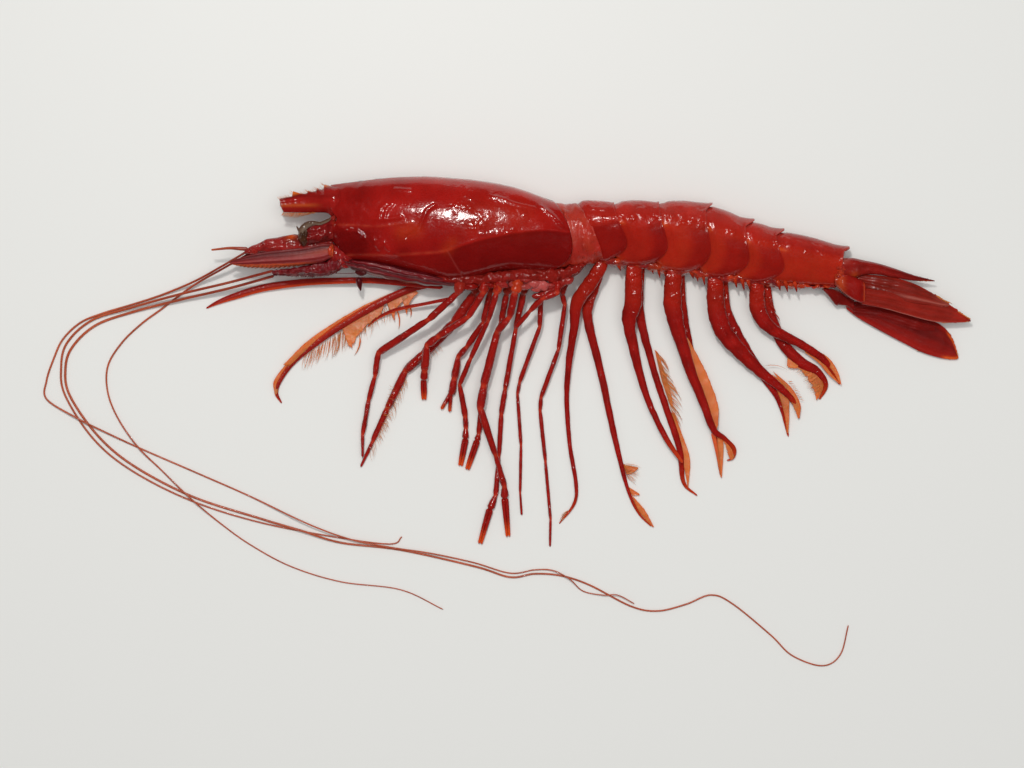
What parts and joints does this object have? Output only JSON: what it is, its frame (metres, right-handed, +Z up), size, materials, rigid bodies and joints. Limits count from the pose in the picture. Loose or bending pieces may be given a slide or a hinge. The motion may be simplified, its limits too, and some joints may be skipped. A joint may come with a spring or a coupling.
{
  "type": "raw shrimp",
  "caption": "Whole raw deep-water shrimp lying on its right side: ridged red carapace, jointed abdomen, claw legs, plumed swimming legs, tail fan and long antennal threads.",
  "frame": {"origin": "middle of the flat spot under the carapace that the shrimp rests on", "axes": "+X towards the tail, +Y towards the back of the animal, +Z up from the surface it lies on"},
  "size_m": [0.2794, 0.1473, 0.0194],
  "materials": {
    "shell": "wet translucent scarlet shell",
    "deep_shell": "wet deep red shell",
    "limb": "wet thin red shell over flesh",
    "thread": "dry brown horny thread",
    "eye": "wet dark eye"
  },
  "bodies": {
    "root": {"antenna_base_left": "deep_shell", "antenna_base_right": "deep_shell", "antenna_left": "thread", "antenna_right": "thread", "antennal_scale_left": "deep_shell", "antennal_scale_right": "deep_shell", "antennule_base_left": "deep_shell", "antennule_base_right": "deep_shell", "antennule_left": "thread", "antennule_right": "thread", "antennule_short_left": "thread", "carapace": "shell", "claw_leg_1_left": "limb", "claw_leg_1_right": "limb", "claw_leg_2_left": "limb", "claw_leg_2_right": "limb", "claw_leg_3_left": "limb", "claw_leg_3_right": "limb", "eye_left": "eye", "eye_right": "eye", "eyestalk_left": "limb", "eyestalk_right": "limb", "maxilliped_left": "limb", "maxilliped_right": "limb", "mouth_lash_long": "limb", "mouth_lash_plumed": "limb", "mouth_lash_short": "limb", "neck_membrane": "limb", "pleopod_1_left": "limb", "pleopod_1_right": "limb", "pleopod_2_left": "limb", "pleopod_2_right": "limb", "pleopod_3_left": "limb", "pleopod_3_right": "limb", "pleopod_4_left": "limb", "pleopod_4_right": "limb", "pleopod_5_left": "limb", "pleopod_5_right": "limb", "somite_1": "shell", "somite_2": "shell", "somite_3": "shell", "somite_4": "shell", "somite_5": "shell", "somite_6": "shell", "telson": "deep_shell", "thorax": "limb", "uropod_base_left": "deep_shell", "uropod_base_right": "deep_shell", "uropod_inner_left": "deep_shell", "uropod_inner_right": "deep_shell", "uropod_outer_left": "deep_shell", "uropod_outer_right": "deep_shell", "walking_leg_4_left": "limb", "walking_leg_4_right": "limb", "walking_leg_5_right": "limb"}
  },
  "joints": []
}
